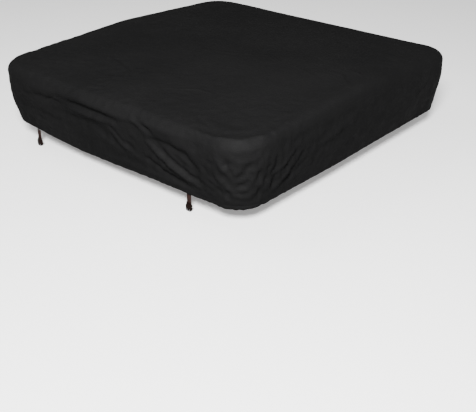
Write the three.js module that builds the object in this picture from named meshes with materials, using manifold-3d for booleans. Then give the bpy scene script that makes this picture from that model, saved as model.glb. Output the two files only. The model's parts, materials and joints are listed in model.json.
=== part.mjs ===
// Spa cover: two tapered foam panels in vinyl jackets, hinged along the middle, held down by four
// clip straps and wrapped in a fitted fabric cap with an elastic hem.
//
// Millimetres, +Z up. The origin is the middle of the underside, on the plane that rests on the
// rim of the tub. X runs along the hinge. The front panel is on the -Y side; the rear panel is
// the same set of pieces turned half a turn about Z.
import * as THREE from "three";
import { mergeVertices } from "three/addons/utils/BufferGeometryUtils.js";
import Module from "manifold-3d";

const wasm = await Module();
wasm.setup();

// ---- driving dimensions ----------------------------------------------------------------------
const CORE_HALF = 897; // half the width of the foam, both ways
const CORE_CORNER = 150; // plan radius of the foam's outer corners
const CORE_EDGE_T = 76; // foam thickness at the outer edge
const CORE_HINGE_T = 113; // foam thickness at the hinge, so that rain runs off
const HINGE_GAP = 24; // between the two jackets
const TOP_EASE = 34; // rounding of the foam's top edge
const GAP = 0.4; // clearance between pieces that touch
const VINYL = 2; // jacket, valance and hinge leaves

const CAP_T = 3; // fabric cap with its lining
const CAP_HALF = 930; // half the width of the cap where it is widest
const CAP_EDGE_Z = 88; // top of the cap at the outer edge
const CAP_RIDGE_Z = 125; // top of the cap over the hinge
const CAP_ROUND = 50; // rounding of the cap's top edge
const HEM_Z = -256; // where the fabric ends
const HEM_HALF = 887; // half the width of the cap at its hem
const HEM_R = 5; // rolled hem
const ELASTIC_R = 2.5;
const CUT = 0.6; // each half of the cap stops this far from the hinge plane

const VALANCE_TOP = 26;
const VALANCE_DROP = 110;
const STRAP_W = 28;
const STRAP_T = 2.5;
const STRAP_X = [-655, 535]; // along the front edge
const STRAP_WALL = 874; // how far out the straps hang, against the tub's cabinet
const STRAP_JOG = [-70, -220]; // heights between which the strap leans in to the cabinet
const TAIL_Z = -270; // where the free end of the strap flexes
const TAIL_LENGTH = 59;

const CHANNEL_T = 1.5; // steel channel along the hinge edge of each foam core
const CHANNEL_FLANGE = 32;
const ZIP_Z = 62; // middle of the zip, in the jacket's hinge face
const ZIP_WINDOW = 20;
const ZIP_HALF = 840;
const COIL_OUT = 1.4; // how far the zip's coil stands out of the jacket
const SLIDER_X = 800;

const SLEEVE = 9; // length of strap held in the clip's head
const CLIP_W = 31;
const CLIP_T = 11;
const CLIP_HEAD = 12;
const PRONG = 18;
const BASE_W = 33; // lock base on the cabinet
const BASE_T = 13;
const BASE_H = 34;
const BASE_ROUND = 10;
const SCREW_X = 8.5;
const SCREW_R = 1.8;
const HEAD_R = 3.5;
const SCREW_BEYOND = 14; // into the cabinet

const CORE_BOTTOM = VINYL + GAP;
const JACKET_HALF = CORE_HALF + GAP + VINYL;
const JACKET_EDGE_Z = CORE_BOTTOM + CORE_EDGE_T + GAP + VINYL;
const HINGE_Y = -HINGE_GAP / 2; // hinge face of the front jacket

// ---- solids ----------------------------------------------------------------------------------
const solidOf = (geometry) => {
  const bare = geometry.clone();
  bare.deleteAttribute("normal");
  bare.deleteAttribute("uv");
  const merged = mergeVertices(bare, 1e-3);
  return new wasm.Manifold(
    new wasm.Mesh({
      numProp: 3,
      vertProperties: merged.attributes.position.array,
      triVerts: new Uint32Array(merged.index.array),
    }),
  );
};

const geometryOf = (solid) => {
  const made = solid.getMesh();
  const geometry = new THREE.BufferGeometry();
  geometry.setAttribute("position", new THREE.BufferAttribute(made.vertProperties, 3));
  geometry.setIndex(new THREE.BufferAttribute(made.triVerts, 1));
  const flat = geometry.toNonIndexed();
  flat.computeVertexNormals();
  return flat;
};

const box = (x0, x1, y0, y1, z0, z1) =>
  new THREE.BoxGeometry(x1 - x0, y1 - y0, z1 - z0).translate((x0 + x1) / 2, (y0 + y1) / 2, (z0 + z1) / 2);

const boxSolid = (...corners) => solidOf(box(...corners));

// Outline of the front half of a rounded square: hinge edge at y = hingeY, outer corners rounded.
const CORNER_STEPS = 7;
function halfOutline(half, corner, hingeY) {
  const points = [new THREE.Vector2(-half, hingeY)];
  for (const [side, from] of [[-1, Math.PI], [1, 1.5 * Math.PI]]) {
    for (let i = 0; i <= CORNER_STEPS; i++) {
      const a = from + (i / CORNER_STEPS) * (Math.PI / 2);
      const x = side * (half - corner) + corner * Math.cos(a);
      const y = -half + corner + corner * Math.sin(a);
      points.push(new THREE.Vector2(x, y));
    }
  }
  points.push(new THREE.Vector2(half, hingeY));
  return points;
}

// A closed body through rings of one outline at rising heights. Each ring is { half, corner, z, crown }:
// crown is how much higher the ring is at the hinge plane than at its outer edge.
function loftHalf(rings, hingeY) {
  const outlines = rings.map((r) => halfOutline(r.half, r.corner, hingeY));
  const count = outlines[0].length;
  const position = [];
  rings.forEach((r, k) => {
    for (const p of outlines[k]) position.push(p.x, p.y, r.z + (r.crown ?? 0) * (1 + p.y / CORE_HALF));
  });
  const index = [];
  for (let k = 0; k + 1 < rings.length; k++) {
    for (let i = 0; i < count; i++) {
      const [a, b] = [k * count + i, k * count + ((i + 1) % count)];
      index.push(a, b, b + count, a, b + count, a + count);
    }
  }
  const caps = THREE.ShapeUtils.triangulateShape(outlines[0], []);
  const top = (rings.length - 1) * count;
  for (const [a, b, c] of caps) index.push(c, b, a, top + a, top + b, top + c);
  const geometry = new THREE.BufferGeometry();
  geometry.setAttribute("position", new THREE.Float32BufferAttribute(position, 3));
  geometry.setIndex(index);
  return solidOf(geometry.toNonIndexed());
}

// Rings of a panel whose top edge is eased by a quarter round.
function panelRings(half, bottom, edgeTop, crown, ease, corner) {
  const rings = [{ half, corner, z: bottom }];
  const steps = 3;
  for (let i = 0; i <= steps; i++) {
    const a = (i / steps) * (Math.PI / 2);
    const inset = ease * (1 - Math.cos(a));
    rings.push({
      half: half - inset,
      corner: corner - inset,
      z: edgeTop - ease * (1 - Math.sin(a)),
      crown,
    });
  }
  return rings;
}

// A shape drawn in the Y-Z plane, extruded along X about x = 0.
const alongX = (shape, length) =>
  new THREE.ExtrudeGeometry(shape, {
    depth: length,
    bevelEnabled: false,
    steps: 1,
    curveSegments: 5,
  }).applyMatrix4(new THREE.Matrix4().set(0, 0, 1, -length / 2, 1, 0, 0, 0, 0, 1, 0, 0, 0, 0, 0, 1));

// A flat strip of width along X, its side view a polyline of [y, z] points given a thickness.
function strip(width, thickness, line) {
  const points = line.map(([y, z]) => new THREE.Vector2(y, z));
  const left = [];
  const right = [];
  points.forEach((p, i) => {
    const before = points[Math.max(i - 1, 0)];
    const after = points[Math.min(i + 1, points.length - 1)];
    const along = after.clone().sub(before).normalize();
    const out = new THREE.Vector2(-along.y, along.x).multiplyScalar(thickness / 2);
    left.push(p.clone().add(out));
    right.unshift(p.clone().sub(out));
  });
  const shape = new THREE.Shape([...left, ...right]);
  return alongX(shape, width);
}

// A shape drawn in the X-Z plane, extruded from y = back towards -Y.
const standing = (shape, depth, back) =>
  new THREE.ExtrudeGeometry(shape, { depth, bevelEnabled: false, curveSegments: 6 }).applyMatrix4(
    new THREE.Matrix4().set(1, 0, 0, 0, 0, 0, -1, back, 0, 1, 0, 0, 0, 0, 0, 1),
  );

// ---- materials -------------------------------------------------------------------------------
const material = (color, roughness, metalness = 0) =>
  new THREE.MeshStandardMaterial({ color, roughness, metalness });
const fabric = material(0x1c1c1d, 0.62);
const hemBinding = material(0x171718, 0.7);
const elastic = material(0x2a2a2c, 0.9);
const vinyl = material(0x3b2219, 0.45);
const scrim = material(0xcfd0cc, 0.8);
const foam = material(0xf1f2ee, 0.9);
const steel = material(0xb4b7b8, 0.4, 0.9);
const webbing = material(0x35201a, 0.85);
const plastic = material(0x1b1412, 0.5);
const zipTape = material(0x241813, 0.8);
const zipMetal = material(0x9a958c, 0.35, 0.9);

// ---- hard panel ------------------------------------------------------------------------------
const coreHingeY = HINGE_Y - VINYL - GAP;
const crown = CORE_HINGE_T - CORE_EDGE_T;

// Profile of the C channel, open towards the panel's outer edge; grow widens it for the foam's rebate.
function channelSolid(grow) {
  const slope = crown / CORE_HALF;
  const topAt = (y) => CORE_BOTTOM + CORE_EDGE_T + crown + slope * y;
  const [y1, y0] = [coreHingeY + grow, coreHingeY - CHANNEL_FLANGE - grow];
  const t = CHANNEL_T + grow;
  const profile = new THREE.Shape([
    new THREE.Vector2(y0, CORE_BOTTOM - grow),
    new THREE.Vector2(y1, CORE_BOTTOM - grow),
    new THREE.Vector2(y1, topAt(y1) + grow),
    new THREE.Vector2(y0, topAt(y0) + grow),
    new THREE.Vector2(y0, topAt(y0) - t),
    new THREE.Vector2(y1 - t - grow, topAt(y1) - t),
    new THREE.Vector2(y1 - t - grow, CORE_BOTTOM + t),
    new THREE.Vector2(y0, CORE_BOTTOM + t),
  ]);
  const length = 2 * (CORE_HALF - 60) + 2 * grow;
  return solidOf(alongX(profile, length));
}

function foamCore() {
  const rings = panelRings(CORE_HALF, CORE_BOTTOM, CORE_BOTTOM + CORE_EDGE_T, crown, TOP_EASE, CORE_CORNER);
  return loftHalf(rings, coreHingeY).subtract(channelSolid(GAP));
}

function jacket() {
  const skin = VINYL + GAP;
  const outer = panelRings(JACKET_HALF, 0, JACKET_EDGE_Z, crown, TOP_EASE + skin, CORE_CORNER + skin);
  const inner = panelRings(
    CORE_HALF + GAP,
    VINYL,
    JACKET_EDGE_Z - VINYL,
    crown,
    TOP_EASE + GAP,
    CORE_CORNER + GAP,
  );
  const window = boxSolid(
    -ZIP_HALF,
    ZIP_HALF,
    HINGE_Y - VINYL - 1,
    HINGE_Y + 1,
    ZIP_Z - ZIP_WINDOW / 2,
    ZIP_Z + ZIP_WINDOW / 2,
  );
  return loftHalf(outer, HINGE_Y).subtract(loftHalf(inner, HINGE_Y - VINYL)).subtract(window);
}

// Band that hangs round the three outer sides of the panel, over the rim of the tub.
function valance() {
  const inner = JACKET_HALF + GAP;
  const wall = (half, bottom, top, hingeY) =>
    loftHalf(
      [
        { half, corner: CORE_CORNER + half - CORE_HALF, z: bottom },
        { half, corner: CORE_CORNER + half - CORE_HALF, z: top },
      ],
      hingeY,
    );
  return wall(inner + VINYL, -VALANCE_DROP, VALANCE_TOP, HINGE_Y).subtract(
    wall(inner, -VALANCE_DROP - 1, VALANCE_TOP + 1, HINGE_Y + 1),
  );
}

// One leaf of the vinyl hinge, lying on the jacket beside the fold line.
function hingeLeaf() {
  const lift = JACKET_EDGE_Z + crown + GAP + VINYL / 2;
  const slope = crown / CORE_HALF;
  const reach = 62;
  return strip(2 * (JACKET_HALF - 60), VINYL, [
    [-reach, lift - slope * reach],
    [-CUT, lift],
  ]);
}

// Foam strip that closes the gap between the panels against steam. It is sewn to the rear panel and
// lies flush with the underside.
function hingeSeal() {
  const [y0, y1] = [-9, HINGE_GAP / 2 - GAP];
  const [z0, z1] = [0, 38];
  const soft = 5;
  const shape = new THREE.Shape();
  shape.moveTo(y0 + soft, z0);
  shape.lineTo(y1, z0);
  shape.lineTo(y1, z1);
  shape.lineTo(y0 + soft, z1);
  shape.absarc(y0 + soft, z1 - soft, soft, Math.PI / 2, Math.PI, false);
  shape.absarc(y0 + soft, z0 + soft, soft, Math.PI, 1.5 * Math.PI, false);
  const length = 2 * (CORE_HALF - 40);
  return alongX(shape, length);
}

function zipStrip() {
  const tape = boxSolid(
    -ZIP_HALF + GAP,
    ZIP_HALF - GAP,
    HINGE_Y - VINYL,
    HINGE_Y - GAP,
    ZIP_Z - ZIP_WINDOW / 2 + GAP,
    ZIP_Z + ZIP_WINDOW / 2 - GAP,
  );
  const coil = boxSolid(
    -ZIP_HALF + 6,
    ZIP_HALF - 6,
    HINGE_Y - GAP - 0.5,
    HINGE_Y + COIL_OUT,
    ZIP_Z - 3,
    ZIP_Z + 3,
  );
  return tape.add(coil);
}

function zipSlider() {
  const [bodyBack, bodyFront] = [HINGE_Y + COIL_OUT + GAP, HINGE_Y + COIL_OUT + 2.8];
  const body = boxSolid(-SLIDER_X - 9, -SLIDER_X + 9, bodyBack, bodyFront, ZIP_Z - 5, ZIP_Z + 5);
  const pull = boxSolid(
    -SLIDER_X - 30,
    -SLIDER_X - 6,
    bodyFront - 0.8,
    bodyFront + 1,
    ZIP_Z - 3.5,
    ZIP_Z + 3.5,
  );
  return body.add(pull);
}

// Webbing grab handle on the side of the panel: sewn down at both ends and lying flat when not in use.
function handle() {
  const face = JACKET_HALF + GAP + VINYL + GAP;
  const [half, foot, bow, thickness] = [110, 34, 3.2, 2.4];
  const line = [
    [-half, 0],
    [-half + foot, 0],
    [-half + foot + 26, bow],
    [half - foot - 26, bow],
    [half - foot, 0],
    [half, 0],
  ];
  const made = strip(38, thickness, line);
  // the strip's Y runs along the panel's side and its Z points away from it
  return made.applyMatrix4(
    new THREE.Matrix4().set(0, 0, 1, face + thickness / 2, 0, 1, 0, -450, -1, 0, 0, -32, 0, 0, 0, 1),
  );
}

// ---- fitted cap ------------------------------------------------------------------------------
const capCorner = CORE_CORNER + CAP_HALF - CORE_HALF;
function capRings(inset) {
  const side = [
    [HEM_HALF, HEM_Z],
    [909, -180],
    [922, -105],
    [928, -50],
    [CAP_HALF, -10],
  ];
  const rings = side.map(([half, z]) => ({
    half: half - inset,
    corner: capCorner + half - CAP_HALF - inset,
    z,
  }));
  const steps = 5;
  const round = CAP_ROUND;
  for (let i = 0; i <= steps; i++) {
    const a = (i / steps) * (Math.PI / 2);
    const half = CAP_HALF - round * (1 - Math.cos(a)) - inset * Math.cos(a);
    rings.push({
      half,
      corner: capCorner + half - CAP_HALF,
      z: CAP_EDGE_Z - round + (round - inset) * Math.sin(a),
      crown: CAP_RIDGE_Z - CAP_EDGE_Z,
    });
  }
  return rings;
}

function capHalf() {
  const inner = capRings(CAP_T);
  inner[0] = { ...inner[0], z: HEM_Z - 1 };
  return loftHalf(capRings(0), -CUT).subtract(loftHalf(inner, 5));
}

// The hem runs from the hinge plane round the three outer sides, below the edge of the fabric.
function hemPath() {
  const half = HEM_HALF - CAP_T / 2;
  const corner = capCorner + HEM_HALF - CAP_HALF;
  const path = new THREE.CurvePath();
  const z = HEM_Z - HEM_R - GAP;
  const points = halfOutline(half, corner, -CUT).map((p) => new THREE.Vector3(p.x, p.y, z));
  for (let i = 0; i + 1 < points.length; i++) path.add(new THREE.LineCurve3(points[i], points[i + 1]));
  return path;
}

// A tube along the hem, swept ring by ring so that it stays round at the corners.
function hemTube(radius, sides = 8) {
  const points = hemPath().curves.map((c) => c.v1).concat([hemPath().curves.at(-1).v2]);
  const position = [];
  points.forEach((p, i) => {
    const before = points[Math.max(i - 1, 0)];
    const after = points[Math.min(i + 1, points.length - 1)];
    const along = after.clone().sub(before).normalize();
    const out = new THREE.Vector3(along.y, -along.x, 0);
    for (let k = 0; k < sides; k++) {
      const a = (k / sides) * 2 * Math.PI;
      const at = p.clone().addScaledVector(out, radius * Math.cos(a));
      position.push(at.x, at.y, at.z + radius * Math.sin(a));
    }
  });
  const index = [];
  for (let i = 0; i + 1 < points.length; i++) {
    for (let k = 0; k < sides; k++) {
      const [a, b] = [i * sides + k, i * sides + ((k + 1) % sides)];
      index.push(a, b + sides, b, a, a + sides, b + sides);
    }
  }
  const last = (points.length - 1) * sides;
  for (let k = 1; k + 1 < sides; k++) index.push(0, k, k + 1, last, last + k + 1, last + k);
  const geometry = new THREE.BufferGeometry();
  geometry.setAttribute("position", new THREE.Float32BufferAttribute(position, 3));
  geometry.setIndex(index);
  const made = solidOf(geometry.toNonIndexed());
  return made.volume() < 0 ? solidOf(flipped(geometry)) : made;
}

function flipped(geometry) {
  const turned = geometry.clone();
  const order = Array.from(turned.index.array);
  for (let i = 0; i < order.length; i += 3) [order[i + 1], order[i + 2]] = [order[i + 2], order[i + 1]];
  turned.setIndex(order);
  return turned.toNonIndexed();
}

function hemCasing() {
  const bore = hemTube(ELASTIC_R + GAP);
  const plugs = boxSolid(-HEM_HALF - 20, HEM_HALF + 20, -CUT - 0.01, 4, HEM_Z - 20, HEM_Z);
  return hemTube(HEM_R).subtract(bore).subtract(plugs);
}

// ---- tie-down strap --------------------------------------------------------------------------
const strapTop = JACKET_HALF - STRAP_T / 2 - GAP;

function upperStrap(x) {
  return strip(STRAP_W, STRAP_T, [
    [-strapTop, -6],
    [-strapTop, STRAP_JOG[0]],
    [-STRAP_WALL - STRAP_T / 2, STRAP_JOG[1]],
    [-STRAP_WALL - STRAP_T / 2, TAIL_Z + 1.5],
  ]).translate(x, 0, 0);
}

const tailBottom = TAIL_Z - TAIL_LENGTH;
const tailY = -STRAP_WALL - STRAP_T / 2;
function strapTail(x) {
  return strip(STRAP_W, STRAP_T, [
    [tailY, TAIL_Z - 1.5],
    [tailY, tailBottom],
  ]).translate(x, 0, 0);
}

const clipY = tailY; // middle of the clip's thickness
const clipTop = tailBottom + SLEEVE;

// Male half of the clip: a head that holds the strap's end, a middle tongue and two sprung arms.
function clip(x) {
  const [y0, y1] = [clipY - CLIP_T / 2, clipY + STRAP_T / 2];
  const headBottom = clipTop - CLIP_HEAD;
  const head = boxSolid(-CLIP_W / 2, CLIP_W / 2, y0, y1, headBottom, clipTop);
  const slot = boxSolid(
    -STRAP_W / 2 - GAP,
    STRAP_W / 2 + GAP,
    clipY - STRAP_T / 2 - GAP,
    y1 + 1,
    tailBottom - GAP,
    clipTop + 1,
  );
  const [armY0, armY1] = [clipY - 4.6, clipY - 0.4];
  const tongue = boxSolid(-3.5, 3.5, armY0, armY1, headBottom - PRONG + 3, headBottom + 1);
  const tip = headBottom - PRONG;
  const arm = (side) => {
    const outline = [
      [8.5, headBottom + 1],
      [8.5, tip],
      [10.5, tip],
      [13.2, tip + 5],
      [12, tip + 8],
      [12, headBottom + 1],
    ].map(([ax, z]) => new THREE.Vector2(side * ax, z));
    return solidOf(standing(new THREE.Shape(outline), armY1 - armY0, armY1));
  };
  return head.subtract(slot).add(tongue).add(arm(-1)).add(arm(1)).translate([x, 0, 0]);
}

const baseTop = clipTop - CLIP_HEAD - GAP;
const baseBack = -STRAP_WALL + 2.5; // flat back, against the tub's cabinet
const screwZ = baseTop - BASE_H + 7.5;

// Female half of the clip: screwed to the cabinet, open at the top for the prongs.
function lockBase(x) {
  const half = BASE_W / 2;
  const bottom = baseTop - BASE_H;
  const shape = new THREE.Shape();
  shape.moveTo(-half, baseTop);
  shape.lineTo(-half, bottom + BASE_ROUND);
  shape.quadraticCurveTo(-half, bottom, -half + BASE_ROUND, bottom);
  shape.lineTo(half - BASE_ROUND, bottom);
  shape.quadraticCurveTo(half, bottom, half, bottom + BASE_ROUND);
  shape.lineTo(half, baseTop);
  const body = standing(shape, BASE_T, baseBack);
  const pocketDepth = PRONG + 3;
  const pocket = boxSolid(-13.8, 13.8, clipY - 5.4, clipY + 0.4, baseTop - pocketDepth, baseTop + 1);
  const window = boxSolid(-half - 1, half + 1, clipY - 4.6, clipY - 0.4, baseTop - 15, baseTop - 7);
  let made = solidOf(body).subtract(pocket).subtract(window);
  for (const side of [-1, 1]) {
    made = made.subtract(screwSolid(side * SCREW_X, GAP, 2));
  }
  return made.translate([x, 0, 0]);
}

// Countersunk screw that lies along Y, its head in the front of the base; grow makes its hole.
function screwSolid(x, grow = 0, beyond = 0) {
  const front = baseBack - BASE_T;
  const end = baseBack + SCREW_BEYOND + beyond;
  const profile = [
    [0, front + 0.6 - beyond],
    [HEAD_R + grow, front + 0.6 - beyond],
    [HEAD_R + grow, front + 1.2],
    [SCREW_R + grow, front + 1.2 + HEAD_R - SCREW_R],
    [SCREW_R + grow, end],
    [0, end],
  ].map(([r, y]) => new THREE.Vector2(r, y));
  const lathe = new THREE.LatheGeometry(profile, 12);
  const made = solidOf(lathe);
  const facing = made.volume() < 0 ? solidOf(flipped(mergeVertices(lathe, 1e-3))) : made;
  return facing.translate([x, 0, screwZ]);
}

function screw(x, side) {
  const cross = boxSolid(-2.1, 2.1, -1, 1.2, -0.5, 0.5).add(boxSolid(-0.5, 0.5, -1, 1.2, -2.1, 2.1));
  const front = baseBack - BASE_T + 0.6;
  return screwSolid(side * SCREW_X)
    .subtract(cross.translate([side * SCREW_X, front, screwZ]))
    .translate([x, 0, 0]);
}

// ---- assembly --------------------------------------------------------------------------------
const cover = new THREE.Group();

function add(parent, name, made, look) {
  const geometry = made.isBufferGeometry ? made : geometryOf(made);
  const mesh = new THREE.Mesh(geometry, look);
  mesh.name = name;
  parent.add(mesh);
}

for (const [end, turn] of [["front", 0], ["rear", Math.PI]]) {
  const half = new THREE.Group();
  half.rotation.z = turn;
  cover.add(half);
  add(half, `foam_core_${end}`, foamCore(), foam);
  add(half, `steel_channel_${end}`, channelSolid(0), steel);
  add(half, `vinyl_jacket_${end}`, jacket(), vinyl);
  add(half, `valance_${end}`, valance(), vinyl);
  add(half, `hinge_leaf_${end}`, hingeLeaf(), vinyl);
  add(half, `zip_${end}`, zipStrip(), zipTape);
  add(half, `zip_slider_${end}`, zipSlider(), zipMetal);
  add(half, `cap_${end}`, capHalf(), fabric);
  add(half, `cap_hem_${end}`, hemCasing(), hemBinding);
  add(half, `hem_elastic_${end}`, hemTube(ELASTIC_R), elastic);
  for (const side of ["left", "right"]) {
    const grip = new THREE.Group();
    grip.scale.x = side === "left" ? -1 : 1;
    half.add(grip);
    add(grip, `handle_${end}_${side}`, handle(), webbing);
  }
  STRAP_X.forEach((x, i) => {
    const tag = `${end}_${i + 1}`;
    add(half, `strap_${tag}`, upperStrap(x), webbing);
    add(half, `strap_tail_${tag}`, strapTail(x), webbing);
    add(half, `clip_${tag}`, clip(x), plastic);
    add(half, `lock_base_${tag}`, lockBase(x), plastic);
    add(half, `screw_${tag}_left`, screw(x, -1), steel);
    add(half, `screw_${tag}_right`, screw(x, 1), steel);
  });
}
add(cover, "hinge_seal", hingeSeal(), scrim);

export default cover;
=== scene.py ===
"""Spa cover: a folding foam cover under a fitted black fabric cap, held down by clip straps.

Metres, in the CAD frame: +Z up, X along the hinge, -Y towards the strap side in view.
"""

import json
import math
import random

import bmesh
import bpy
import numpy as np
from mathutils import Matrix, Vector, noise

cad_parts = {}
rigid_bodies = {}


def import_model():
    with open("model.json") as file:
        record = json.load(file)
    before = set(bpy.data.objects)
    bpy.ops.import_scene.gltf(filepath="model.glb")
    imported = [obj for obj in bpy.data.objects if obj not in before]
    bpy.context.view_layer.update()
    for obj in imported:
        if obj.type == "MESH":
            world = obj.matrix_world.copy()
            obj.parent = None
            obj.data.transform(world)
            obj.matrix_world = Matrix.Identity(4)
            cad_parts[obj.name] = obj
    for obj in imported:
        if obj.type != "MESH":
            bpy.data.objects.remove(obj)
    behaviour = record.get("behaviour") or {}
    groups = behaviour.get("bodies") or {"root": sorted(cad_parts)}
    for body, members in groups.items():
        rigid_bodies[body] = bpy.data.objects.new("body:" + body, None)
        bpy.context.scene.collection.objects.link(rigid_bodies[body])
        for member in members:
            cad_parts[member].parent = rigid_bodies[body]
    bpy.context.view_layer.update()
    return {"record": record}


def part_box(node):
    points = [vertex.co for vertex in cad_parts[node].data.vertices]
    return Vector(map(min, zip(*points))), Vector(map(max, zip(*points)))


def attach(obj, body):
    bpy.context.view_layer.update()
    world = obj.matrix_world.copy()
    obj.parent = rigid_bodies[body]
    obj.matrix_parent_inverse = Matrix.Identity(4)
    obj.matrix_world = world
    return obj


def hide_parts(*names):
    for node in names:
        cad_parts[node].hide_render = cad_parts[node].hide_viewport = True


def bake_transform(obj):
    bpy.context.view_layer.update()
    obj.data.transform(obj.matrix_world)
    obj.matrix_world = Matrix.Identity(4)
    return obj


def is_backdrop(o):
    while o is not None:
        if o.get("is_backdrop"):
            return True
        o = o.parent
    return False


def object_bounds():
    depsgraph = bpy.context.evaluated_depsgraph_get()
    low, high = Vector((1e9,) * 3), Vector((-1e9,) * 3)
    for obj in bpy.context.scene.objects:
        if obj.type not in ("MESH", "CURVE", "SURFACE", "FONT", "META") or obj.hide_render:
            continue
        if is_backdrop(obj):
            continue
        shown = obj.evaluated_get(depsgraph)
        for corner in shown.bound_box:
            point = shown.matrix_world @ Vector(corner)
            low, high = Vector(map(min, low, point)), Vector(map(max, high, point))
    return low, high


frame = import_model()

# ---- camera ------------------------------------------------------------------------------------
CAMERA_AT = Vector((3.064, -3.351, 1.565))
CAMERA_YAW = math.radians(41.78)  # from +Y towards -X
CAMERA_PITCH = math.radians(28.39)  # below the horizon
CAMERA_ROLL = math.radians(-0.41)
CAMERA_LENS = 62.45

camera = bpy.data.objects.new("camera", bpy.data.cameras.new("camera"))
bpy.context.scene.collection.objects.link(camera)
camera.data.lens = CAMERA_LENS
camera.data.sensor_width = 36
ahead = Vector(
    (
        -math.sin(CAMERA_YAW) * math.cos(CAMERA_PITCH),
        math.cos(CAMERA_YAW) * math.cos(CAMERA_PITCH),
        -math.sin(CAMERA_PITCH),
    )
)
level = Vector((math.cos(CAMERA_YAW), math.sin(CAMERA_YAW), 0))
right = Matrix.Rotation(-CAMERA_ROLL, 3, ahead) @ level
up = right.cross(ahead)
camera.matrix_world = Matrix.Translation(CAMERA_AT) @ Matrix((right, up, -ahead)).transposed().to_4x4()
bpy.context.scene.camera = camera

# ---- sizes, from the frame ---------------------------------------------------------------------
_, cap_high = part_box("cap_front")
hem_low, hem_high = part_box("cap_hem_front")
CAP_HALF = cap_high.x  # widest half width of the cap
CAP_CORNER = 0.183  # plan radius there
EDGE_ROUND = 0.050  # rounding of the cap's top edge
EDGE_Z = 0.088
RIDGE_RISE = cap_high.z - EDGE_Z
HEM_Z = hem_low.z
HEM_HALF = hem_high.x
HEM_PIPE = 0.005
FLAT_HALF = CAP_HALF - EDGE_ROUND
FLAT_CORNER = CAP_CORNER - EDGE_ROUND
SKIRT_LEANS = -0.005  # below this height the skirt leans in towards the hem
CASING = 0.020  # height of the hem's casing
SLIT = 0.0002  # half the gap of the slit in the skirt at the fold
FACING_BEHIND = 0.0035  # the strip of cloth behind the slit
ELASTIC_R = 0.0025
STEP = 0.0105  # mesh spacing of the cloth
TOP_DIP = -0.0036  # the cloth dips no lower than this on the panels
SKIRT_DIP = -0.012  # and no deeper than this where it hangs
DIP_SOFTENS = 0.0010  # height over which a dip slows to its limit


def fade(x, low, high):
    """0 below low, 1 above high, smooth between."""
    t = np.clip((x - low) / (high - low), 0, 1)
    return t * t * (3 - 2 * t)


# ---- node materials ----------------------------------------------------------------------------
class Nodes:
    """Short calls for a material's node tree; object space in metres unless a scale says otherwise."""

    def __init__(self, name, **settings):
        self.material = bpy.data.materials.new(name)
        self.material.use_nodes = True
        self.tree = self.material.node_tree
        self.shader = self.tree.nodes["Principled BSDF"]
        for key, value in settings.items():
            self.shader.inputs[key.replace("_", " ")].default_value = value
        self.space = self.tree.nodes.new("ShaderNodeTexCoord").outputs["Object"]

    def add(self, kind, inputs=(), **fields):
        node = self.tree.nodes.new("ShaderNode" + kind)
        for key, value in fields.items():
            setattr(node, key, value)
        for socket, value in dict(inputs).items():
            target = node.inputs[socket]
            if isinstance(value, bpy.types.NodeSocket):
                self.tree.links.new(value, target)
            else:
                target.default_value = value
        return node.outputs

    def noise(self, scale, detail=2.0, rough=0.5, space=None, distortion=0.0):
        return self.add(
            "TexNoise",
            {
                "Vector": space or self.space,
                "Scale": scale,
                "Detail": detail,
                "Roughness": rough,
                "Distortion": distortion,
            },
        )["Fac"]

    def stretched(self, scale, turn=(0, 0, 0)):
        return self.add("Mapping", {"Vector": self.space, "Scale": scale, "Rotation": turn})["Vector"]

    def math(self, operation, a, b=0.5, c=0.5):
        return self.add("Math", {0: a, 1: b, 2: c}, operation=operation)["Value"]

    def remap(self, value, low, high, to_low, to_high):
        return self.add(
            "MapRange",
            {"Value": value, "From Min": low, "From Max": high, "To Min": to_low, "To Max": to_high},
        )["Result"]

    def ramp(self, value, stops):
        node = self.tree.nodes.new("ShaderNodeValToRGB")
        self.tree.links.new(value, node.inputs["Fac"])
        points = node.color_ramp.elements
        while len(points) < len(stops):
            points.new(0.5)
        for point, (at, color) in zip(points, stops):
            point.position = at
            point.color = (*color, 1)
        return node.outputs["Color"]

    def blend(self, factor, a, b):
        node = self.tree.nodes.new("ShaderNodeMix")
        node.data_type = "RGBA"
        for socket, value in (("Factor", factor), ("A", a), ("B", b)):
            wanted = "VALUE" if socket == "Factor" else "RGBA"
            target = next(i for i in node.inputs if i.name == socket and i.type == wanted)
            if isinstance(value, bpy.types.NodeSocket):
                self.tree.links.new(value, target)
            else:
                target.default_value = value if socket == "Factor" else (*value, 1)
        return next(o for o in node.outputs if o.type == "RGBA")

    def bump(self, height, distance, strength=1.0, after=None):
        inputs = {"Height": height, "Distance": distance, "Strength": strength}
        if after is not None:
            inputs["Normal"] = after
        return self.add("Bump", inputs)["Normal"]

    def finish(self, **links):
        for key, value in links.items():
            self.tree.links.new(value, self.shader.inputs[key.replace("_", " ")])
        return self.material


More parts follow.
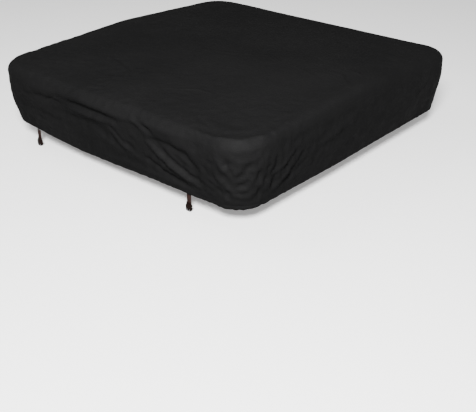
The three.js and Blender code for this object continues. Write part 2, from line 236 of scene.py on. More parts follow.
def cap_fabric():
    """Matt black woven polyester: a plain weave, soft creases and faint dust."""
    n = Nodes("cap_fabric", Roughness=0.6)
    n.shader.inputs["Specular IOR Level"].default_value = 0.035
    threads = {"Scale": 190.0, "Distortion": 1.2}
    warp = n.add("TexWave", {"Vector": n.stretched((1, 0.02, 0.6)), **threads}, bands_direction="X")
    weft = n.add("TexWave", {"Vector": n.stretched((0.02, 1, 0.6)), **threads}, bands_direction="Y")
    weave = n.math("MULTIPLY", warp["Fac"], weft["Fac"])
    crumple = n.noise(14, 5.0, 0.55, n.stretched((1, 1, 1.6)), 0.7)
    creases = n.noise(38, 3.0, 0.5, n.stretched((1, 1, 1.3)), 1.1)
    cloud = n.noise(2.3, 4.0, 0.6)
    dust = n.noise(420, 2.0, 0.7)
    tone = n.ramp(cloud, [(0.25, (0.0048, 0.0048, 0.0049)), (0.75, (0.0068, 0.0067, 0.0068))])
    fleck = n.remap(dust, 0.62, 0.80, 0.0, 0.35)
    color = n.blend(fleck, tone, (0.014, 0.0137, 0.0133))
    rough = n.remap(crumple, 0.3, 0.7, 0.55, 0.70)
    relief = n.bump(crumple, 0.010, 0.35)
    relief = n.bump(creases, 0.003, 0.30, relief)
    relief = n.bump(weave, 0.0004, 0.5, relief)
    return n.finish(Base_Color=color, Roughness=rough, Normal=relief)


def vinyl():
    """Brown marine vinyl with a pressed leather grain."""
    n = Nodes("vinyl", Roughness=0.42)
    n.shader.inputs["Specular IOR Level"].default_value = 0.45
    settings = {"Vector": n.space, "Scale": 420.0, "Randomness": 1.0}
    cells = n.add("TexVoronoi", settings, feature="DISTANCE_TO_EDGE")
    grain = n.remap(cells["Distance"], 0.0, 0.18, 0.0, 1.0)
    cloud = n.noise(5, 4.0, 0.6)
    scuff = n.noise(26, 6.0, 0.7)
    tone = n.ramp(cloud, [(0.3, (0.036, 0.017, 0.011)), (0.7, (0.056, 0.027, 0.018))])
    color = n.blend(n.remap(scuff, 0.6, 0.8, 0.0, 0.35), tone, (0.085, 0.052, 0.038))
    relief = n.bump(n.noise(7, 3.0, 0.5), 0.012, 0.25)
    relief = n.bump(grain, 0.0006, 0.5, relief)
    return n.finish(Base_Color=color, Roughness=n.remap(scuff, 0.3, 0.8, 0.36, 0.55), Normal=relief)


def webbing(name, dark, light):
    """Polyester strap or elastic: two sets of close ribs, slanted both ways."""
    n = Nodes(name, Roughness=0.8)
    n.shader.inputs["Specular IOR Level"].default_value = 0.15
    threads = {"Scale": 230.0, "Distortion": 0.6}
    slant = math.radians(32)
    ribs = n.add("TexWave", {"Vector": n.stretched((1, 1, 1), (0, slant, 0)), **threads})
    back = n.add("TexWave", {"Vector": n.stretched((1, 1, 1), (0, -slant, 0)), **threads})
    weave = n.math("MAXIMUM", ribs["Fac"], back["Fac"])
    wear = n.noise(60, 4.0, 0.7)
    tone = n.ramp(weave, [(0.2, dark), (0.9, light)])
    color = n.blend(n.remap(wear, 0.55, 0.8, 0.0, 0.4), tone, tuple(c * 1.8 for c in light))
    return n.finish(Base_Color=color, Normal=n.bump(weave, 0.0006, 0.6))


def moulded(name, dark, light, roughness=0.42):
    """Moulded plastic with a fine spark-eroded texture and faint scuffs."""
    n = Nodes(name, Roughness=roughness)
    n.shader.inputs["Specular IOR Level"].default_value = 0.12
    grain = n.noise(900, 2.0, 0.6)
    scuff = n.noise(70, 5.0, 0.7, n.stretched((1, 1, 0.35)))
    tone = n.ramp(n.noise(18, 3.0, 0.5), [(0.3, dark), (0.7, light)])
    color = n.blend(n.remap(scuff, 0.6, 0.8, 0.0, 0.3), tone, tuple(c * 2.0 for c in light))
    rough = n.remap(scuff, 0.3, 0.8, roughness - 0.06, roughness + 0.2)
    return n.finish(Base_Color=color, Roughness=rough, Normal=n.bump(grain, 0.0003, 0.35))


def galvanised():
    """Zinc-coated steel with its spangle."""
    n = Nodes("galvanised_steel", Metallic=0.95, Roughness=0.38)
    spangle = n.add("TexVoronoi", {"Vector": n.space, "Scale": 70.0, "Randomness": 1.0})
    tone = n.ramp(spangle["Color"], [(0.2, (0.42, 0.44, 0.46)), (0.8, (0.62, 0.63, 0.64))])
    rough = n.remap(n.noise(50, 4.0, 0.6), 0.3, 0.7, 0.3, 0.5)
    return n.finish(Base_Color=tone, Roughness=rough, Normal=n.bump(n.noise(120), 0.0004, 0.3))


def beads():
    """White expanded foam, made of fused beads."""
    n = Nodes("foam_beads", Roughness=0.85)
    settings = {"Vector": n.space, "Scale": 260.0, "Randomness": 0.8}
    cells = n.add("TexVoronoi", settings, feature="DISTANCE_TO_EDGE")
    edge = n.remap(cells["Distance"], 0.0, 0.1, 0.0, 1.0)
    tone = n.blend(edge, (0.62, 0.62, 0.60), (0.86, 0.87, 0.85))
    return n.finish(Base_Color=tone, Normal=n.bump(edge, 0.0005, 0.5))


def scrim():
    """Pale woven lining of the hinge seal."""
    n = Nodes("scrim", Roughness=0.8)
    warp = n.add("TexWave", {"Vector": n.space, "Scale": 260.0, "Distortion": 0.5}, bands_direction="X")
    weft = n.add("TexWave", {"Vector": n.space, "Scale": 260.0, "Distortion": 0.5}, bands_direction="Z")
    weave = n.math("MULTIPLY", warp["Fac"], weft["Fac"])
    tone = n.ramp(n.noise(9, 4.0), [(0.3, (0.36, 0.36, 0.34)), (0.7, (0.50, 0.50, 0.48))])
    return n.finish(Base_Color=tone, Normal=n.bump(weave, 0.0005, 0.6))


def zip_look():
    """Zip tape with its coil's teeth along the hinge."""
    n = Nodes("zip_tape", Roughness=0.7)
    teeth = n.add("TexWave", {"Vector": n.space, "Scale": 125.0, "Distortion": 0.0}, bands_direction="X")
    tone = n.ramp(teeth["Fac"], [(0.35, (0.012, 0.009, 0.008)), (0.65, (0.045, 0.032, 0.026))])
    return n.finish(Base_Color=tone, Normal=n.bump(teeth["Fac"], 0.0012, 0.8))


LOOKS = {
    "cap_fabric": cap_fabric(),
    "vinyl": vinyl(),
    "webbing": webbing("webbing", (0.0070, 0.0025, 0.0019), (0.0190, 0.0076, 0.0058)),
    "elastic": webbing("elastic", (0.02, 0.02, 0.02), (0.06, 0.06, 0.06)),
    "hem_binding": webbing("hem_binding", (0.008, 0.008, 0.008), (0.020, 0.020, 0.021)),
    "plastic": moulded("clip_plastic", (0.0036, 0.0013, 0.0009), (0.0080, 0.0032, 0.0022)),
    "steel": galvanised(),
    "foam": beads(),
    "scrim": scrim(),
    "zip_tape": zip_look(),
    "zip_metal": moulded("zip_slider", (0.10, 0.09, 0.08), (0.16, 0.15, 0.13), 0.3),
}


# ---- mesh helpers ------------------------------------------------------------------------------
def make_object(name, verts, faces, look, smooth=True):
    mesh = bpy.data.meshes.new(name)
    mesh.from_pydata([tuple(v) for v in verts], [], [tuple(int(i) for i in f) for f in faces])
    mesh.validate()
    mesh.polygons.foreach_set("use_smooth", [smooth] * len(mesh.polygons))
    mesh.materials.append(LOOKS[look])
    made = bpy.data.objects.new(name, mesh)
    bpy.context.scene.collection.objects.link(made)
    return made


# ---- the fitted cap ----------------------------------------------------------------------------
def skirt_inset(z):
    """How far the skirt stands outside the flat of the top, at height z below the rounded edge."""
    drop = np.clip((SKIRT_LEANS - z) / (SKIRT_LEANS - HEM_Z), 0, 1)
    return EDGE_ROUND - (CAP_HALF - HEM_HALF + 0.0015) * drop**1.35


def profile():
    """Rows of the cap's side from the flat top to the rolled hem: offset from the flat, and height."""
    rows = []
    arc = 9
    for i in range(1, arc + 1):
        a = i / arc * math.pi / 2
        rows.append((EDGE_ROUND * math.sin(a), EDGE_Z - EDGE_ROUND * (1 - math.cos(a))))
    top = EDGE_Z - EDGE_ROUND
    bottom = HEM_Z + HEM_PIPE
    casing = bottom + CASING
    count = round((top - casing) / STEP)
    heights = [top + (casing - top) * i / count for i in range(1, count + 1)]
    heights += [casing - 0.002, casing - 0.005, casing - 0.010, bottom + 0.004, bottom]
    for z in heights:
        rows.append((float(skirt_inset(z)), z))
    out = rows[-1][0]
    for i in range(1, 7):
        a = i / 6 * math.pi
        rows.append((out - HEM_PIPE * (1 - math.cos(a)), bottom - HEM_PIPE * math.sin(a)))
    rows.append((out - 2 * HEM_PIPE + 0.001, bottom + 0.010))
    return np.array(rows)


def grid_lines():
    """Mesh lines across the flat of the top, the same both ways but for the close ones at the fold."""
    count = round(2 * FLAT_HALF / STEP)
    x = np.linspace(-FLAT_HALF, FLAT_HALF, count + 1)
    half = np.linspace(SLIT + 0.004, FLAT_HALF, count // 2)
    near = np.array([SLIT / 3, SLIT, SLIT + 0.0015])
    y = np.concatenate([-half[::-1], -near[::-1], near, half])
    return x, y


def rounded(x, y):
    """Moves the corners of a square grid in to the flat's rounded corners."""
    inner = FLAT_HALF - FLAT_CORNER
    a = np.clip((np.abs(x) - inner) / FLAT_CORNER, 0, 1)
    b = np.clip((np.abs(y) - inner) / FLAT_CORNER, 0, 1)
    px = np.where(a > 0, inner + FLAT_CORNER * a * np.sqrt(1 - b * b / 2), np.abs(x))
    py = np.where(b > 0, inner + FLAT_CORNER * b * np.sqrt(1 - a * a / 2), np.abs(y))
    return np.sign(x) * px, np.sign(y) * py


def ridge(y):
    """Height over the flat's edge: the panels rise towards the fold, and the cloth rounds it off."""
    soft = 0.035
    return RIDGE_RISE * (1 - (np.sqrt(y * y + soft * soft) - soft) / FLAT_HALF)


def cap_mesh():
    """The cap at rest with no creases: vertices, quads, and the vertices of the side by row and column."""
    x, y = grid_lines()
    gx, gy = np.meshgrid(x, y, indexing="ij")
    px, py = rounded(gx, gy)
    nx, ny = gx.shape
    top = np.stack([px, py, EDGE_Z + ridge(py)], -1).reshape(-1, 3)
    index = np.arange(nx * ny).reshape(nx, ny)
    squares = [index[:-1, :-1], index[1:, :-1], index[1:, 1:], index[:-1, 1:]]
    quads = np.stack(squares, -1).reshape(-1, 4)

    # the rim of the top in order, starting on the +X side just behind the fold
    mid = ny // 2
    rim = np.concatenate(
        [index[-1, mid:], index[-2::-1, -1], index[0, -2::-1], index[1:, 0], index[-1, 1:mid]]
    )
    base = top[rim]
    inner = FLAT_HALF - FLAT_CORNER
    corner = np.clip(base[:, :2], -inner, inner)
    out = base[:, :2] - corner
    out /= np.linalg.norm(out, axis=1, keepdims=True)

    rows = profile()
    columns = len(rim)
    skirt = np.zeros((len(rows), columns, 3))
    for k, (offset, z) in enumerate(rows):
        skirt[k, :, :2] = base[:, :2] + out * offset
        lift = ridge(skirt[k, :, 1]) * fade(z, -0.05, EDGE_Z - EDGE_ROUND / 2)
        skirt[k, :, 2] = z + lift
    verts = np.concatenate([top, skirt.reshape(-1, 3)])
    below = nx * ny + np.arange(len(rows) * columns).reshape(len(rows), columns)
    ids = np.concatenate([rim[None], below])
    ahead_ids = np.roll(ids, -1, axis=1)
    side = np.stack([ids[:-1], ids[1:], ahead_ids[1:], ahead_ids[:-1]], -1)
    # the skirt is slit at the fold, from the rounding of the edge down
    across = np.abs(verts[ids, 1]).max(0)
    at_fold = (across < SLIT * 1.5) & (np.abs(verts[ahead_ids, 1]).max(0) < SLIT * 1.5)
    open_rows = np.arange(len(rows)) >= 4
    keep = ~(open_rows[:, None] & at_fold[None, :])
    quads = np.concatenate([quads, side[keep]])
    used = np.unique(quads)
    new = np.full(len(verts), -1)
    new[used] = np.arange(len(used))
    return verts[used], new[quads], new[ids]


def vertex_normals(verts, quads):
    normal = np.zeros_like(verts)
    a, b, c, d = (verts[quads[:, i]] for i in range(4))
    face = np.cross(c - a, d - b)
    for i in range(4):
        np.add.at(normal, quads[:, i], face)
    return normal / np.maximum(np.linalg.norm(normal, axis=1, keepdims=True), 1e-12)


def on_side(side, along, z):
    """A point on the skirt of one side: 'front' -Y, 'rear' +Y, 'right' +X, 'left' -X."""
    out = FLAT_HALF + float(skirt_inset(z))
    if z > EDGE_Z - EDGE_ROUND:
        out = FLAT_HALF + math.sqrt(max(EDGE_ROUND**2 - (z - EDGE_Z + EDGE_ROUND) ** 2, 0))
    return {
        "front": (along, -out, z),
        "rear": (-along, out, z),
        "right": (out, along, z),
        "left": (-out, -along, z),
    }[side]


PAST_CORNER = 0.3  # length along the side for a turn of 1 past the corner


def on_corner(sx, sy, turn, z):
    """A point on a rounded corner: turn 0 is on its X side, 1 on its Y side, and it goes on past both."""
    inner = FLAT_HALF - FLAT_CORNER
    out = FLAT_CORNER + float(skirt_inset(z))
    if z > EDGE_Z - EDGE_ROUND:
        out = FLAT_CORNER + math.sqrt(max(EDGE_ROUND**2 - (z - EDGE_Z + EDGE_ROUND) ** 2, 0))
    a = float(np.clip(turn, 0, 1)) * math.pi / 2
    x = inner + out * math.cos(a) - PAST_CORNER * max(turn - 1, 0)
    y = inner + out * math.sin(a) - PAST_CORNER * max(-turn, 0)
    return (sx * x, sy * y, z)


def on_top(x, y):
    return (x, y, EDGE_Z + float(ridge(y)))


# Main folds: a line of points, its half width, and its height, negative for a dent.
FRONT_FOLDS = [  # points are (along X, height)
    (
        [(-0.74, 0.030), (-0.45, 0.030), (-0.22, 0.050), (0.10, 0.032), (0.34, 0.050), (0.62, 0.042)],
        0.022,
        0.006,
    ),
    ([(-0.74, -0.035), (-0.39, -0.015), (-0.22, 0.004), (-0.03, 0.008), (0.12, -0.008)], 0.020, -0.008),
    ([(-0.44, 0.004), (-0.23, -0.018), (-0.03, -0.026), (0.12, -0.022)], 0.014, 0.008),
    ([(-0.50, -0.070), (-0.20, -0.075), (0.00, -0.070)], 0.034, -0.006),
    ([(0.00, -0.036), (0.06, -0.080), (0.12, -0.120), (0.24, -0.165)], 0.012, 0.007),
    ([(-0.14, -0.095), (-0.02, -0.130), (0.12, -0.175)], 0.020, 0.005),
    ([(0.20, 0.050), (0.26, 0.028), (0.33, -0.012)], 0.010, 0.006),
    ([(0.28, 0.045), (0.33, 0.022), (0.37, 0.000)], 0.010, -0.005),
    ([(0.34, -0.020), (0.49, -0.030), (0.58, -0.055), (0.65, -0.110)], 0.026, -0.009),
    ([(0.30, -0.040), (0.38, -0.080), (0.46, -0.120), (0.55, -0.152), (0.66, -0.195)], 0.016, 0.013),
    ([(0.45, -0.068), (0.53, -0.104), (0.62, -0.135)], 0.010, 0.005),
    ([(0.26, -0.140), (0.42, -0.190), (0.60, -0.222)], 0.019, -0.009),
    ([(-0.05, -0.225), (0.25, -0.222), (0.45, -0.236), (0.60, -0.244)], 0.013, 0.004),
    ([(-0.77, -0.120), (-0.46, -0.135), (-0.18, -0.140)], 0.038, -0.006),
    ([(-0.74, -0.030), (-0.66, -0.060), (-0.54, -0.085)], 0.012, 0.004),
    ([(-0.72, -0.160), (-0.60, -0.185), (-0.42, -0.205)], 0.013, 0.004),
]
RIGHT_FOLDS = [  # points are (along Y, height)
    ([(0.78, 0.045), (0.30, 0.042), (-0.20, 0.046), (-0.60, 0.042), (-0.76, 0.045)], 0.024, 0.003),
    ([(0.11, 0.030), (-0.10, -0.020), (-0.31, -0.070), (-0.52, -0.120)], 0.022, 0.006),
    ([(0.10, -0.090), (-0.08, -0.125), (-0.25, -0.165)], 0.020, 0.004),
    ([(-0.60, 0.050), (-0.605, 0.020), (-0.61, -0.012)], 0.008, 0.004),
    ([(-0.54, 0.012), (-0.49, -0.050), (-0.44, -0.110), (-0.40, -0.160)], 0.012, 0.004),
    ([(-0.47, -0.020), (-0.54, -0.090), (-0.61, -0.150), (-0.70, -0.205)], 0.012, 0.008),
    ([(-0.50, 0.010), (-0.56, -0.030), (-0.63, -0.080), (-0.73, -0.125)], 0.011, 0.007),
    ([(-0.42, -0.090), (-0.52, -0.150), (-0.62, -0.195)], 0.018, -0.007),
    ([(0.66, -0.040), (0.60, -0.072), (0.52, -0.110)], 0.020, -0.006),
]
CORNER_FOLDS = [  # points are (turn, height), on the near corner
    ([(-0.60, 0.076), (0.00, 0.083), (0.50, 0.084), (1.00, 0.083), (1.80, 0.074)], 0.019, 0.007),
    ([(-0.50, 0.088), (0.00, 0.088), (0.50, 0.088), (1.00, 0.088), (1.60, 0.088)], 0.010, -0.006),
    ([(0.95, 0.010), (0.78, -0.050), (0.62, -0.110)], 0.011, 0.008),
    ([(0.34, 0.010), (0.47, -0.040), (0.60, -0.085)], 0.010, 0.007),
    ([(0.15, -0.020), (0.28, -0.090), (0.42, -0.155)], 0.011, 0.007),
    ([(0.92, -0.090), (0.74, -0.145), (0.56, -0.195)], 0.011, 0.007),
    ([(0.45, -0.130), (0.50, -0.180), (0.53, -0.235)], 0.010, 0.006),
    ([(0.05, -0.110), (0.22, -0.170), (0.40, -0.220)], 0.011, 0.006),
    ([(0.99, -0.170), (0.85, -0.200), (0.70, -0.228)], 0.009, 0.005),
    ([(0.70, -0.020), (0.66, -0.060), (0.70, -0.100)], 0.010, -0.006),
]
TOP_FOLDS = [  # points are (x, y)
    ([(0.58, -0.855), (0.70, -0.862), (0.79, -0.835), (0.845, -0.77), (0.86, -0.66)], 0.020, -0.0035),
    ([(-0.11, -0.86), (-0.07, -0.83), (-0.07, -0.76)], 0.010, 0.0030),
    ([(-0.25, -0.77), (-0.18, -0.70), (-0.16, -0.63)], 0.011, 0.0030),
    ([(-0.47, -0.49), (-0.34, -0.53), (-0.19, -0.58), (-0.12, -0.64)], 0.012, 0.0028),
    ([(0.18, -0.61), (0.30, -0.54), (0.46, -0.55)], 0.011, 0.0030),
    ([(0.52, -0.78), (0.60, -0.82), (0.68, -0.84)], 0.016, -0.0030),
    ([(0.60, 0.07), (0.76, 0.05), (0.86, -0.05), (0.86, -0.20)], 0.014, 0.0032),
    ([(0.70, 0.18), (0.86, 0.11)], 0.012, 0.0025),
    ([(-0.14, -0.10), (0.08, -0.04), (0.36, 0.14)], 0.012, 0.0022),
    ([(0.40, 0.02), (0.58, -0.02), (0.74, -0.10)], 0.012, 0.0020),
]


def crease(points, verts, normals, width, height):
    """Height added at each vertex by one fold: a sharp crest with a shallow trough beside it."""
    line = np.array(points, float)
    lengths = np.linalg.norm(np.diff(line, axis=0), axis=1)
    total = lengths.sum()
    best = np.full(len(verts), 1e9)
    side = np.zeros(len(verts))
    at = np.zeros(len(verts))
    near = np.all((verts > line.min(0) - 4 * width) & (verts < line.max(0) + 4 * width), axis=1)
    v, nv = verts[near], normals[near]
    before = 0.0
    for a, b, length in zip(line[:-1], line[1:], lengths):
        t = np.clip(((v - a) @ (b - a)) / length**2, 0, 1)
        gap = v - (a + t[:, None] * (b - a))
        gap -= (gap * nv).sum(1)[:, None] * nv
        far = np.linalg.norm(gap, axis=1)
        closer = far < best[near]
        spot = np.flatnonzero(near)[closer]
        best[spot] = far[closer]
        side[spot] = np.sign((np.cross(b - a, gap[closer]) * nv[closer]).sum(1))
        at[spot] = (before + t[closer] * length) / total
        before += length
    u = best / width
    skew = np.where(side > 0, 1.3, 0.85)
    crest = 1 / (1 + (u * skew * 1.1) ** 2) ** 2
    trough = 0.35 * np.exp(-((u - 1.9) ** 2) / 0.9) * (side > 0)
    ends = np.sin(np.clip(at, 0, 1) * math.pi) ** 0.55
    return np.where(best < 1e8, height * ends * (crest - trough), 0)


# How much of its listed height each fold gets, by side and on the top.
SIDE_SHARES = (
    ("front", FRONT_FOLDS, 1.7),
    ("right", RIGHT_FOLDS, 1.25),
    ("rear", FRONT_FOLDS, 1.5),
    ("left", RIGHT_FOLDS, 1.5),
)
TOP_SHARE = 1.9


def main_folds():
    """The folds listed above, and the same kinds on the sides out of view."""
    folds = []
    for side, listed, share in SIDE_SHARES:
        for points, width, height in listed:
            folds.append(([on_side(side, along, z) for along, z in points], width, share * height))
    for sx, sy, listed in ((1, -1, CORNER_FOLDS), (-1, 1, CORNER_FOLDS[2:])):
        for points, width, height in listed:
            folds.append(([on_corner(sx, sy, turn, z) for turn, z in points], width, height))
    for points, width, height in TOP_FOLDS:
        folds.append(([on_top(x, y) for x, y in points], width, TOP_SHARE * height))
    return folds


def random_folds(seed):
    """Small folds on the sides, leaning down to the nearest corner, and faint ones on the top."""
    rng = random.Random(seed)
    folds = []
    sides = (("front", 18, 0.0042), ("right", 16, 0.0030), ("rear", 20, 0.0045), ("left", 20, 0.0045))
    for side, count, most in sides:
        for _ in range(count):
            start = rng.uniform(-0.7, 0.7)
            lean = math.copysign(rng.uniform(0.05, 0.22), start)
            z = rng.uniform(-0.18, 0.05)
            drop = rng.uniform(0.02, 0.10)
            points = [
                on_side(side, float(np.clip(start + lean * k, -0.76, 0.76)), z - drop * k**1.3)
                for k in (0, 0.33, 0.66, 1)
            ]
            folds.append((points, rng.uniform(0.010, 0.024), rng.uniform(-0.6, 1) * most))
    for _ in range(40):
        x, y = rng.uniform(-0.8, 0.8), rng.uniform(-0.82, 0.1)
        turn = rng.uniform(-0.9, 0.9)
        length = rng.uniform(0.06, 0.20)
        bend = rng.uniform(-0.03, 0.03)
        step = Vector((math.cos(turn), math.sin(turn))) * length / 2
        points = [
            on_top(float(np.clip(x - step.x, -0.87, 0.87)), max(-0.87, y - step.y)),
            on_top(x, y + bend),
            on_top(float(np.clip(x + step.x, -0.87, 0.87)), max(-0.87, y + step.y)),
        ]
        folds.append((points, rng.uniform(0.010, 0.020), rng.uniform(-0.5, 1) * 0.0030))
    return folds


def sharp(point, scale, shift):
    """Noise folded over at zero, so that its high lines are creases; its mean is near zero."""
    at = point * scale + Vector((shift, -shift, 2 * shift))
    return 0.22 - abs(noise.noise(at))


def softness(verts, normals):
    """Slow swell of loose cloth, crumples at the corners, and ripples of the gathered hem."""
    sideways = 1 - np.abs(normals[:, 2])
    x, y, z = verts.T
    slack = fade(-z, -0.085, 0.03) * fade(z, HEM_Z, HEM_Z + 0.10)
    corner = fade(np.minimum(np.abs(x), np.abs(y)), 0.48, 0.80)
    near_corner = fade(np.minimum(x, -y), 0.50, 0.78)
    far_right = fade(x, 0.85, 0.9) * fade(y, -0.3, 0.2)
    points = [Vector(v) for v in verts]
    swell = np.array([noise.fractal(p * 3.1, 0.8, 2.0, 3) for p in points])
    large = np.array([sharp(Vector((p.x * 1.2, p.y * 1.2, p.z * 0.75)), 13, 3.7) for p in points])
    small = np.array([sharp(Vector((p.x, p.y, p.z * 0.7)), 30, 9.1) for p in points])
    gather = np.array([noise.noise(Vector((p.x * 46, p.y * 46, p.z * 7))) for p in points])
    hem = np.exp(-np.clip(z - HEM_Z - 0.01, 0, 1) / 0.040) * (z < -0.05)
    crumpled = 0.009 + 0.003 * corner + 0.004 * near_corner - 0.005 * far_right
    on_top = fade(-y, 0.1, 0.7) * 0.006 + 0.0015
    return (
        swell * (0.006 * slack * sideways + 0.0016 * (1 - sideways))
        + large * (crumpled * slack + on_top * (1 - sideways))
        + small * ((0.55 + 0.35 * near_corner) * crumpled * slack + 0.35 * on_top * (1 - sideways))
        + gather * hem * (0.0030 + 0.004 * corner)
    )


def hem_height(x, y):
    """How much the hem stands above its level line: it sags between the corners."""
    on_front = np.interp(x, [-0.85, -0.70, -0.50, -0.28, 0.00, 0.30, 0.85], [18, 12, -4, -15, -12, -3, 2])
    on_right = np.interp(y, [-0.85, -0.60, -0.20, 0.30, 0.85], [2, 2, -2, 7, 14])
    on_rear = np.interp(-x, [-0.85, -0.70, -0.50, -0.28, 0.00, 0.30, 0.85], [14, 12, -4, -13, -12, -3, 18])
    on_left = np.interp(-y, [-0.85, -0.60, -0.20, 0.30, 0.85], [18, 8, -6, 0, 18])
    front, rear = fade(-y, 0.70, 0.86), fade(y, 0.70, 0.86)
    right, left = fade(x, 0.70, 0.86), fade(-x, 0.70, 0.86)
    shares = front + rear + right + left + 1e-9
    return 0.001 * (on_front * front + on_rear * rear + on_right * right + on_left * left) / shares


def shaped_cap():
    verts, quads, side = cap_mesh()
    normals = vertex_normals(verts, quads)
    raised = softness(verts, normals)
    for points, width, height in main_folds() + random_folds(11):
        raised += crease(points, verts, normals, width, height)
    # seam of the casing that holds the elastic
    raised -= 0.0016 * np.exp(-(((verts[:, 2] - HEM_Z - HEM_PIPE - CASING + 0.002) / 0.003) ** 2))
    rolled = (verts[:, 2] < HEM_Z + 0.014) & (np.abs(normals[:, 2]) > 0.3)
    raised = np.where(rolled, raised * 0.6, raised)
    on_skirt = fade(-verts[:, 2], -0.07, -0.03)
    at_slit = 1 - fade(np.abs(verts[:, 1]), 0.0, 0.03)
    raised *= 1 - at_slit * 0.7 * on_skirt
    # the cloth lies on the panels, so it dips less than its slack there
    least = np.where(normals[:, 2] > 0.5, TOP_DIP, SKIRT_DIP)
    raised = least + np.logaddexp(0, (raised - least) / DIP_SOFTENS) * DIP_SOFTENS
    verts = verts + normals * raised[:, None]
    low = fade(-verts[:, 2], 0.08, -HEM_Z)
    verts[:, 2] += low * hem_height(verts[:, 0], verts[:, 1])
    return verts, quads, side


cap_verts, cap_quads, cap_side = shaped_cap()
cap = make_object("fitted_cap", cap_verts, cap_quads, "cap_fabric")
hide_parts("cap_front", "cap_rear", "cap_hem_front", "cap_hem_rear")


def skirt_point(y, z, inside):
    """A point on the +X skirt beside the fold, this far inside the cloth."""
    lift = float(ridge(y) * fade(z, -0.05, EDGE_Z - EDGE_ROUND / 2))
    return (FLAT_HALF + float(skirt_inset(z)) - inside, y, z + lift)


def slit_facings():
    """A strip of cap cloth behind each slit, sewn to the rear half."""
    bottom = HEM_Z + 2 * HEM_PIPE
    heights = np.linspace(EDGE_Z - EDGE_ROUND, bottom, 24)
    across = (-0.030, -0.015, 0.0, 0.015, 0.030)
    for side in (1, -1):
        verts = [skirt_point(y, z, FACING_BEHIND) for z in heights for y in across]
        raised = float(hem_height(side * CAP_HALF, 0))
        verts = [(side * x, side * y, z + raised * float(fade(-z, 0.08, -HEM_Z))) for x, y, z in verts]
        n = len(across)
        faces = [
            (r * n + c, (r + 1) * n + c, (r + 1) * n + c + 1, r * n + c + 1)
            for r in range(len(heights) - 1)
            for c in range(n - 1)
        ]
        name = "slit_facing_right" if side > 0 else "slit_facing_left"
        strip = make_object(name, verts, faces, "cap_fabric")
        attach(strip, "rear_half")


slit_facings()


def hem_elastics():
    """The elastic cord inside the rolled hem, one length for each half."""
    kept = cap_side[-8] >= 0  # the columns inside the slit have no cloth
    rolled = cap_verts[cap_side[[-8, -2]][:, kept]]
    middle = rolled.mean(0)
    for end, in_half in (("front", middle[:, 1] < 0), ("rear", middle[:, 1] > 0)):
        line = middle[in_half]
        curve = bpy.data.curves.new("hem_cord_" + end, "CURVE")
        curve.dimensions = "3D"
        curve.bevel_depth = ELASTIC_R
        curve.bevel_resolution = 2
        curve.use_fill_caps = True
        spline = curve.splines.new("POLY")
        spline.points.add(len(line) - 1)
        spline.points.foreach_set("co", np.c_[line, np.ones(len(line))].ravel())
        curve.materials.append(LOOKS["elastic"])
        cord = bpy.data.objects.new("hem_cord_" + end, curve)
        bpy.context.scene.collection.objects.link(cord)
        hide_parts("hem_elastic_" + end)
        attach(cord, end + "_half")


hem_elastics()

# ---- straps, clips and the parts inside --------------------------------------------------------
for part in frame["record"]["subparts"]:
    node = bpy.data.objects[part["node"]]
    node.data.materials.clear()
    node.data.materials.append(LOOKS[part["material_slot"]])

BODIES = frame["record"]["behaviour"]["bodies"]
BODY_OF = {node: body for body, nodes in BODIES.items() for node in nodes}


def eased(name, width, segments=3):
    """A copy of a CAD node with its sharp edges rounded, in its place."""
    source = bpy.data.objects[name]
    mesh = bmesh.new()
    mesh.from_mesh(source.data)
    bmesh.ops.remove_doubles(mesh, verts=mesh.verts, dist=1e-5)
    bmesh.ops.dissolve_limit(mesh, angle_limit=math.radians(2), verts=mesh.verts, edges=mesh.edges)
    sharp_edges = [e for e in mesh.edges if e.is_manifold and e.calc_face_angle() > math.radians(30)]
    bmesh.ops.bevel(
        mesh,
        geom=sharp_edges,
        offset=width,
        offset_type="OFFSET",
        segments=segments,
        profile=0.5,
        affect="EDGES",
        clamp_overlap=True,
    )
    data = bpy.data.meshes.new(name + "_eased")
    mesh.to_mesh(data)
    mesh.free()
    data.polygons.foreach_set("use_smooth", [True] * len(data.polygons))
    data.set_sharp_from_angle(angle=math.radians(35))
    for material in source.data.materials:
        data.materials.append(material)
    made = bpy.data.objects.new(name + "_eased", data)
    made.matrix_world = source.matrix_world
    bpy.context.scene.collection.objects.link(made)
    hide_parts(name)
    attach(made, BODY_OF[name])
    return made


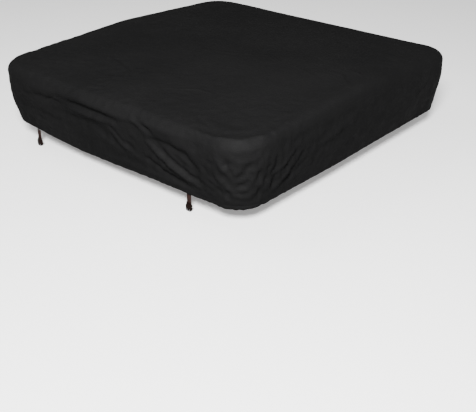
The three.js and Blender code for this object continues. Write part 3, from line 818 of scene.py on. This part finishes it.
for end in ("front", "rear"):
    for i in (1, 2):
        eased(f"strap_{end}_{i}", 0.0006, 2)
        eased(f"strap_tail_{end}_{i}", 0.0006, 2)
        eased(f"clip_{end}_{i}", 0.0011)
        eased(f"lock_base_{end}_{i}", 0.0016)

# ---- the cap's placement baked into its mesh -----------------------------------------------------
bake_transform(cap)

# ---- studio ------------------------------------------------------------------------------------
def studio():
    floor_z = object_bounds()[0].z
    floor = bpy.data.meshes.new("floor")
    floor.from_pydata([(-30, -30, 0), (30, -30, 0), (30, 30, 0), (-30, 30, 0)], [], [(0, 1, 2, 3)])
    ground = bpy.data.objects.new("floor", floor)
    ground.location.z = floor_z - 0.0005
    bpy.context.scene.collection.objects.link(ground)
    n = Nodes("floor", Roughness=0.8)
    n.shader.inputs["Base Color"].default_value = (0.9, 0.9, 0.895, 1)
    n.shader.inputs["Emission Color"].default_value = (1, 1, 1, 1)
    n.shader.inputs["Emission Strength"].default_value = 0.3
    floor.materials.append(n.material)
    ground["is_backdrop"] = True
    # neither the floor's faint glow nor its bounce reaches the cloth, as over a tub's dark sides
    ground.visible_diffuse = False
    ground.visible_glossy = False

    world = bpy.data.worlds.new("studio")
    world.use_nodes = True
    tree = world.node_tree
    sky = tree.nodes.new("ShaderNodeTexCoord").outputs["Generated"]
    split = tree.nodes.new("ShaderNodeSeparateXYZ")
    shade = tree.nodes.new("ShaderNodeMapRange")
    for socket, value in (("From Min", -0.3), ("From Max", 0.2), ("To Min", 0.75), ("To Max", 0.20)):
        shade.inputs[socket].default_value = value
    tree.links.new(sky, split.inputs["Vector"])
    tree.links.new(split.outputs["Z"], shade.inputs["Value"])
    tree.links.new(shade.outputs["Result"], tree.nodes["Background"].inputs["Strength"])
    tree.nodes["Background"].inputs["Color"].default_value = (1, 1, 1, 1)
    bpy.context.scene.world = world

    def light(name, at, target, size, power):
        lamp = bpy.data.lights.new(name, "AREA")
        lamp.shape = "DISK"
        lamp.size = size
        lamp.energy = power
        made = bpy.data.objects.new(name, lamp)
        made.location = at
        made.rotation_euler = (Vector(target) - Vector(at)).to_track_quat("-Z", "Y").to_euler()
        bpy.context.scene.collection.objects.link(made)

    light("key", (3.55, -4.4, 3.8), (0, 0, 0), 1.6, 1740)
    light("fill", (5.5, 0.5, 1.8), (0, 0, 0), 3.0, 30)
    light("top", (-1.9, -0.9, 3.2), (-0.6, -0.1, 0), 2.0, 42)


studio()
